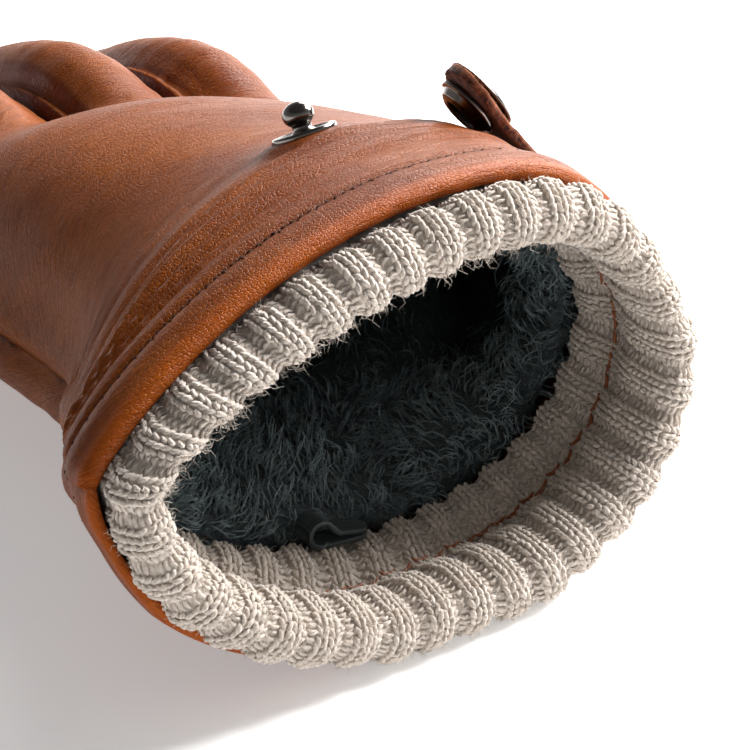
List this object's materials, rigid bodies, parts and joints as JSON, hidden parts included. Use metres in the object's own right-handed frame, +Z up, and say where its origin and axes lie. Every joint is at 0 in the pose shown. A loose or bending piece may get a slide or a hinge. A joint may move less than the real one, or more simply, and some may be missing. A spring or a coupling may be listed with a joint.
{
  "type": "leather glove",
  "caption": "Lined leather glove lying palm down with its mouth open, a folded rib-knit cuff, a deep-pile lining and a short snap strap.",
  "frame": {"origin": "middle of the box around the glove, on the surface that it lies on", "axes": "+Y from the mouth towards the fingertips, +X towards the thumb, +Z up from the palm to the back"},
  "size_m": [0.136, 0.237, 0.0638],
  "materials": {
    "deerskin": "fine grained, soft sheen",
    "suede": "raw flesh side, matt",
    "wool_knit": "rib knit, fuzzy",
    "plush": "deep pile, matted",
    "gunmetal": "dark plated, polished",
    "ribbon": "ribbed ribbon"
  },
  "bodies": {
    "root": {"back_panel": "deerskin", "palm_panel": "deerskin", "thumb_panel": "deerskin", "fourchette_index": "deerskin", "fourchette_middle": "deerskin", "fourchette_ring": "deerskin", "knit_cuff": "wool_knit", "plush_lining": "plush", "wrist_strap": "suede", "snap_stud": "gunmetal", "snap_socket": "gunmetal", "snap_cap": "gunmetal", "hanger_loop": "ribbon"}
  },
  "joints": []
}
